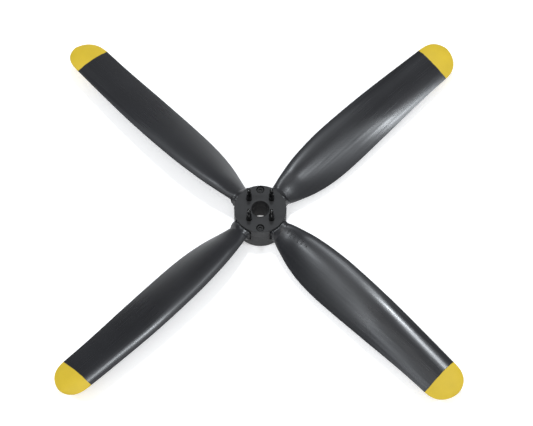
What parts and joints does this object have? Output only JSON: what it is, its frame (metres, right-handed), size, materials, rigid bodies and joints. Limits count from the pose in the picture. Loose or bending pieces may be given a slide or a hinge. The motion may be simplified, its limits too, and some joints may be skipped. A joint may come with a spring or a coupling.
{
  "type": "four-blade propeller",
  "caption": "Fixed-pitch propeller with rounded, painted blade tips, clamped between two round hub halves with a plain shaft bore and stepped locating pins.",
  "frame": {"origin": "centre of the hub's rear face, on the bore axis; the part rests on this face", "axes": "+Z along the bore towards the front, where the pins stand; the first blade points halfway between +X and +Y, and the clamp screws lie on the Y axis"},
  "size_m": [0.186, 0.186, 0.0238],
  "materials": {
    "hub_plastic": "satin black moulded plastic",
    "blade_plastic": "black moulded plastic with a soft gloss, tips painted yellow",
    "pin_steel": "black oxide",
    "screw_steel": "black oxide",
    "nut_steel": "zinc plated"
  },
  "bodies": {
    "root": {"hub_front": "hub_plastic", "hub_rear": "hub_plastic", "blade_1": "blade_plastic", "blade_2": "blade_plastic", "blade_3": "blade_plastic", "blade_4": "blade_plastic", "blade_pin_1": "pin_steel", "blade_pin_2": "pin_steel", "blade_pin_3": "pin_steel", "blade_pin_4": "pin_steel", "clamp_screw_1": "screw_steel", "clamp_screw_2": "screw_steel", "clamp_nut_1": "nut_steel", "clamp_nut_2": "nut_steel"}
  },
  "joints": []
}
